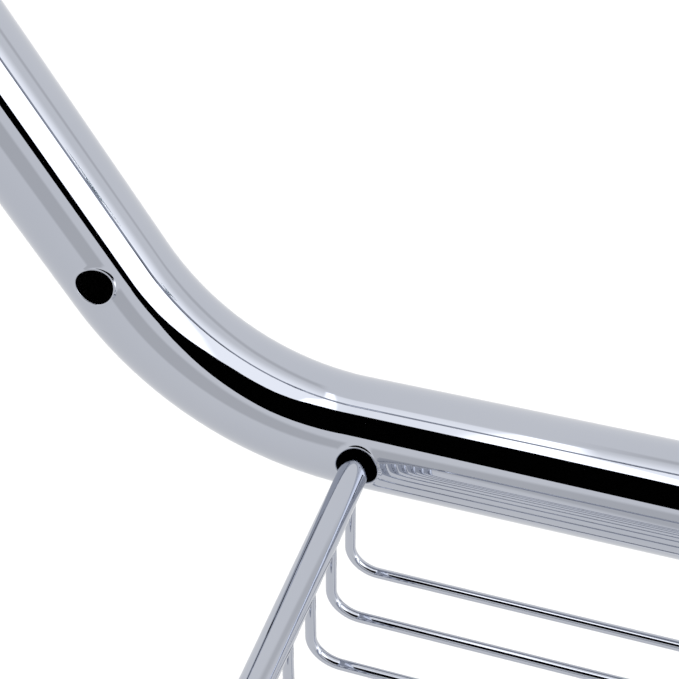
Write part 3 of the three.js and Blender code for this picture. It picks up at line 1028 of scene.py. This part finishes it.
def screwField(p):
    # Lies along +Y with the underside of the head at the origin.
    head = cylinderField(p, (0, 0, 0), (0, setScrew["head"], 0), setScrew["headR"], 0.25)
    dome = np.linalg.norm(p - np.array([0, setScrew["head"] - 4.4, 0]), axis=-1) - 4.4
    head = cutFrom(head, -dome, 0.3)
    shank = cylinderField(p, (0, -setScrew["bite"] - tube["wall"], 0), (0, 0.5, 0), setScrew["r"], 0.3)
    turn = np.arctan2(p[..., 2], p[..., 0])
    wedge = (turn + math.pi / 6) % (math.pi / 3) - math.pi / 6
    flat = np.hypot(p[..., 0], p[..., 2]) * np.cos(wedge) - setScrew["socketR"]
    depth = setScrew["head"] - setScrew["socketDepth"] - p[..., 1]
    return cutFrom(np.minimum(head, shank), np.maximum(flat, depth), 0.12)


def makeFixingScrews():
    shape = skinOf(screwField, (-4, -7.6, -4), (4, 2.6, 4), 0.16)
    for side, name in sideNames.items():
        low, high = boxMm(f"fixing_screw_{name}")
        seat = np.array([(low[0] + high[0]) / 2, tube["outerR"] + gap, (low[2] + high[2]) / 2])
        addPiece(f"fixingScrew{name.title()}", shape[0] + seat, shape[1], shape[2], "frame", "chrome",
                 f"fixing_screw_{name}")


def knobField(p):
    shape = cylinderField(p, (0, 0, knobTop - clamp["knobHeight"]), (0, 0, knobTop), clamp["knobR"], 1.6)
    flute = 2 * math.pi / clamp["flutes"]
    turn = np.arctan2(p[..., 1], p[..., 0])
    wedge = (turn + flute / 2) % flute - flute / 2
    far = np.hypot(p[..., 0], p[..., 1])
    x, y = far * np.cos(wedge) - clamp["knobR"] - clamp["fluteR"] / 2, far * np.sin(wedge)
    shape = cutFrom(shape, np.hypot(x, y) - clamp["fluteR"], 1.4)
    dish = np.linalg.norm(p - np.array([0, 0, knobTop - clamp["knobHeight"] - 19]), axis=-1) - 20.2
    return cutFrom(shape, dish, 0.8)


def threadedShank(start, end):
    # Right-hand thread with rounded crests and roots.
    sides, steps = 48, math.ceil((end - start) / 0.16)
    z = np.linspace(start, end, steps + 1)
    a = 2 * np.pi * np.arange(sides) / sides
    zz, aa = np.meshgrid(z, a, indexing="ij")
    phase = (zz / clamp["threadPitch"] - aa / (2 * np.pi)) % 1
    cut = np.clip(1.5 - 3.2 * np.abs(phase - 0.5), 0, 1)
    cut = cut * cut * (3 - 2 * cut)
    fade = np.clip(np.minimum(zz - start, end - zz) / 1.2, 0, 1)
    radius = clamp["screwR"] - clamp["threadDepth"] * (cut * fade + (1 - fade) * 0.6)
    points = np.stack([radius * np.cos(aa), radius * np.sin(aa), zz], -1).reshape(-1, 3)
    faces = gridFaces(steps + 1, sides)
    faces += [tuple(range(sides))[::-1], tuple(range(steps * sides, (steps + 1) * sides))]
    return points, faces


def makeClampScrew():
    top = padTop - padStack - gap
    tipTop = padTop - clamp["rubber"] - gap - clamp["lip"] - gap
    low, high = knobTop - clamp["knobHeight"] - 1, knobTop + 1
    reach = clamp["knobR"] + 1
    knob = skinOf(knobField, (-reach, -reach, low), (reach, reach, high), 0.45)
    shank = threadedShank(knobTop - 2, top)
    tipOutline = [(0, top - 1), (clamp["tipR"], top - 1, 0), (clamp["tipR"], tipTop, 0.5), (0, tipTop)]
    tip = lathe(filleted(tipOutline), (0, 0, 0), (0, 0, 1), 32)
    shapes = [knob] + [(s[0], s[1], s[0] * 0) for s in (shank, tip)]
    points, faces, _ = joined(*shapes)
    addPiece("clampThumbScrew", points, faces, None, "clamp_screw", "chrome", "clamp_screw")


def makeClampFoot():
    top = padTop - clamp["rubber"] - gap
    bore = clamp["tipR"] + gap
    profile = filleted([
        (0, top - clamp["lip"]), (bore, top - clamp["lip"], 0.2), (bore, top - clamp["cup"], 0.25),
        (clamp["padR"] - 0.9, top - clamp["cup"], 0.4), (clamp["padR"], top - clamp["cup"] + 1.1, 0.4),
        (clamp["padR"], top, 0.3), (0, top),
    ])
    points, faces = lathe(profile, (0, 0, 0), (0, 0, 1), 64)
    addPiece("clampCup", points, faces, None, "clamp_foot", "chrome", "clamp_cup")
    low = padTop - clamp["rubber"]
    foot = low - gap + 0.05
    outline = [(0, foot), (clamp["padR"], foot, 0.3), (clamp["padR"], padTop - 0.2, 0.9)]
    for r in (5.6, 4.0, 2.4, 0.9):
        outline += [(r + 0.45, padTop, 0.12), (r + 0.2, padTop - 0.5, 0.12), (r - 0.2, padTop - 0.5, 0.12),
                    (r - 0.45, padTop, 0.12)]
    outline.append((0, padTop))
    points, faces = lathe(filleted(outline), (0, 0, 0), (0, 0, 1), 64)
    addPiece("clampPad", points, faces, None, "clamp_foot", "black_rubber", "clamp_pad")


makeHub()
makeHook()
makeSleeve()
makeHookTip()
makeFixingScrews()
makeClampScrew()
makeClampFoot()
print("hub, hook and clamp made")

# suction cups and their studs

suctionCup = {"r": 21.0, "lipWidth": 4.0, "dish": 9.0, "boss": 7.0, "bossR": 7.0, "skin": 2.0}
stud = {"r": 2.8, "headR": 5.5, "head": 2.0, "inTube": 5.0, "inCup": 4.5}


def makeCups():
    c = suctionCup
    flange = tube["outerR"] + gap
    back = flange + stud["head"] + gap
    dish = back + c["boss"]
    wall = dish + c["dish"]
    inTube = tube["outerR"] - tube["wall"] - stud["inTube"]
    headTop = flange + stud["head"] + gap / 2
    studOutline = filleted([
        (0, inTube), (stud["r"], inTube, 0.4), (stud["r"], flange - gap, 0.2),
        (stud["headR"], flange - gap, 0.5), (stud["headR"], headTop, 0.6), (stud["r"], headTop, 0.2),
        (stud["r"], back + stud["inCup"], 0.5), (0, back + stud["inCup"]),
    ])
    bore = stud["r"] + 0.1
    cupOutline = filleted([
        (0, back + stud["inCup"] + gap), (bore, back + stud["inCup"] + gap, 0.4), (bore, back, 0.3),
        (c["bossR"] - 1.2, back, 0.5), (c["bossR"], back + 1.4, 0.9), (c["bossR"] - 0.9, back + 3.2, 0.8),
        (c["bossR"], dish, 1.4), (c["r"] * 0.62, dish + c["dish"] * 0.3, 5.0),
        (c["r"] - 0.5, wall - c["skin"] * 0.7, 0.4),
        (c["r"], wall - c["skin"] * 0.4, 0.25), (c["r"], wall, 0.3), (c["r"] - 1.2, wall, 0.3),
        (c["r"] - c["lipWidth"], wall - 0.6, 1.5), (c["r"] * 0.5, dish + c["dish"] * 0.3 + c["skin"], 4.0),
        (0, dish + c["skin"]),
    ], 10)
    for side, name in sideNames.items():
        low, high = boxMm(f"cup_stud_{name}")
        place = ((low[0] + high[0]) / 2, 0, (low[2] + high[2]) / 2)
        points, faces = lathe(studOutline, place, (0, 1, 0), 48)
        addPiece(f"cupStud{name.title()}", points, faces, None, "frame", "chrome", f"cup_stud_{name}")
        points, faces = lathe(cupOutline, place, (0, 1, 0), 96)
        cupName = f"suctionCup{name.title()}"
        addPiece(cupName, points, faces, None, "frame", "clear_vinyl", f"suction_cup_{name}")


makeCups()
print("suction cups made")

# floor and studio light: a white light tent whose glow varies with direction, and a black card round the lens
# directions are flat dome degrees: 0,0 is straight up, +x right, +y towards the viewer, 90 is the horizon

studio = {"floorZ": -0.86, "floorSize": 14.0, "floorTint": (0.9, 0.9, 0.905), "tentR": 4.0, "tentLow": 178.0}
tentGlow = {
    "base": 1.0,
    "low": 0.9,
    "lowFrom": 80,
    "lowTo": 150,
    "shade": {"glow": 0.78, "edge": 6.0, "line": [
        (-2, -21), (25, -28), (50, -40), (70, -53), (72, -61), (48, -49), (24, -36), (-2, -28)]},
    "under": {"glow": 0.74, "edge": 7.0, "line": [
        (-22, 75), (20, 77), (44, 84), (62, 92), (62, 112), (20, 112), (0, 104), (-12, 97), (-26, 88)]},
    "leftPale": {"glow": 1.38, "edge": 3.0, "line": [(-16, 26), (-15, -14), (-5, -14), (-6, 26)]},
    "pale": {"glow": 1.62, "edge": 24.0, "line": [
        (-11, 40), (-11, -2), (-3, -9), (10, -12), (50, -13), (64, -17), (72, -21), (80, -26), (104, -36),
        (104, 40)]},
    "softbox": {"glow": 2.5, "edge": 9.0, "line": [
        (32, 36), (40, 24), (45, 14), (52, 7), (62, 1), (72, -4), (84, -12), (104, -24), (104, 30), (80, 62),
        (62, 66), (40, 45)]},
    "leftSoftbox": {"glow": 2.5, "edge": 1.6, "line": [
        (-9.5, 26), (-8, 2), (-6.4, -15), (-3.6, -15), (-3.4, 2), (2, 12), (4, 26)]},
}
flagCard = {
    "far": 3.0,
    "line": [
        (-32, 12), (-13.4, 16), (-6, 17.6), (0, 20.4), (4.7, 24), (11.5, 27), (26.8, 28.7), (36.4, 33.5),
        (44, 41.2), (51.8, 47.9), (63.3, 53.7), (66, 58), (58.4, 62.3), (53.7, 65.2), (46, 61.3),
        (30.7, 64.2), (15.3, 66.5), (1.3, 67.1), (-8, 63.5), (-16.3, 59.8), (-34, 54)],
}


def domePoint(x, y, far):
    # A direction in flat dome degrees, as a point that far from the lower basket.
    down = np.radians(np.hypot(x, y))
    turn = np.arctan2(x, y)
    way = np.stack([np.sin(turn) * np.sin(down), -np.cos(turn) * np.sin(down), np.cos(down)], -1)
    return way * far + np.array([0, 0, barZ * mm])


def insideLine(x, y, line, edge):
    # 1 well inside a closed outline, 0 well outside, smooth over the edge width.
    line = np.array(line, float)
    far = np.full(x.shape, 1e9)
    inside = np.zeros(x.shape, bool)
    for (ax, ay), (bx, by) in zip(line, np.roll(line, -1, 0)):
        dx, dy = bx - ax, by - ay
        share = np.clip(((x - ax) * dx + (y - ay) * dy) / (dx * dx + dy * dy), 0, 1)
        far = np.minimum(far, np.hypot(x - ax - share * dx, y - ay - share * dy))
        crosses = (ay > y) != (by > y)
        inside ^= crosses & (x < ax + dx * (y - ay) / np.where(by == ay, 1, dy))
    share = np.clip(0.5 + np.where(inside, far, -far) / edge, 0, 1)
    return share * share * (3 - 2 * share)


def glowAt(x, y):
    look = tentGlow
    down = np.clip((np.hypot(x, y) - look["lowFrom"]) / (look["lowTo"] - look["lowFrom"]), 0, 1)
    glow = look["base"] + (look["low"] - look["base"]) * down
    for name in ("shade", "under", "leftPale", "pale", "softbox", "leftSoftbox"):
        patch = look[name]
        share = insideLine(x, y, patch["line"], patch["edge"])
        glow = glow + (patch["glow"] - glow) * share
    return glow


def makeFloor():
    finish, tree, shader, where = newFinish("paleFloor")
    shader.inputs["Roughness"].default_value = 0.9
    light = studio["floorTint"]
    dark = tuple(0.985 * v for v in light)
    tree.links.new(colourBetween(tree, noiseNode(tree, where, 3.0), dark, light), shader.inputs["Base Color"])
    half = studio["floorSize"] / 2
    mesh = bpy.data.meshes.new("paleFloor")
    z = studio["floorZ"]
    corners = [(-half, -half, z), (half, -half, z), (half, half, z), (-half, half, z)]
    mesh.from_pydata(corners, [], [(0, 1, 2, 3)])
    mesh.materials.append(finish)
    floor = bpy.data.objects.new("paleFloor", mesh)
    floor.visible_glossy = False
    scene.collection.objects.link(floor)


def makeSky():
    world = bpy.data.worlds.new("studioRoom")
    world.use_nodes = True
    world.node_tree.nodes["Background"].inputs["Color"].default_value = (1, 1, 1, 1)
    scene.world = world


def makeTent():
    rings, sides = 230, 360
    down = np.linspace(0.2, studio["tentLow"], rings)
    turn = 2 * np.pi * np.arange(sides) / sides
    d, t = np.meshgrid(down, turn, indexing="ij")
    x, y = d * np.sin(t), d * np.cos(t)
    points = domePoint(x.ravel(), y.ravel(), studio["tentR"])
    mesh = bpy.data.meshes.new("lightTent")
    mesh.from_pydata(points.tolist(), [], gridFaces(rings, sides) + [tuple(range(sides))])
    glow = mesh.attributes.new("glow", "FLOAT", "POINT")
    glow.data.foreach_set("value", glowAt(x.ravel(), y.ravel()).astype(np.float32))
    finish = bpy.data.materials.new("tentCloth")
    finish.use_nodes = True
    tree = finish.node_tree
    tree.nodes.clear()
    out, shine = tree.nodes.new("ShaderNodeOutputMaterial"), tree.nodes.new("ShaderNodeEmission")
    read = tree.nodes.new("ShaderNodeAttribute")
    read.attribute_name = "glow"
    tree.links.new(read.outputs["Fac"], shine.inputs["Strength"])
    tree.links.new(shine.outputs["Emission"], out.inputs["Surface"])
    finish.cycles.emission_sampling = "NONE"  # found by bounces alone, which is quicker for so large a light
    mesh.materials.append(finish)
    tent = bpy.data.objects.new("lightTent", mesh)
    tent.visible_camera = False
    tent.visible_shadow = False
    scene.collection.objects.link(tent)


def makeFlag():
    line = np.array(flagCard["line"], float)
    points = domePoint(line[:, 0], line[:, 1], flagCard["far"])
    mesh = bpy.data.meshes.new("blackFlag")
    middle = domePoint(np.array([10.0]), np.array([45.0]), flagCard["far"])
    count = len(line)
    faces = [(k, (k + 1) % count, count) for k in range(count)]
    mesh.from_pydata(np.vstack([points, middle]).tolist(), [], faces)
    finish, tree, shader, where = newFinish("blackFlocking")
    shader.inputs["Roughness"].default_value = 1.0
    shader.inputs["Specular IOR Level"].default_value = 0.0
    nap = colourBetween(tree, noiseNode(tree, where, 40.0), (0.0, 0.0, 0.0), (0.0008, 0.0008, 0.0008))
    tree.links.new(nap, shader.inputs["Base Color"])
    mesh.materials.append(finish)
    card = bpy.data.objects.new("blackFlag", mesh)
    card.visible_camera = False
    card.visible_diffuse = False
    card.visible_shadow = False
    scene.collection.objects.link(card)


makeFloor()
makeSky()
makeTent()
makeFlag()
print("floor and light ready")
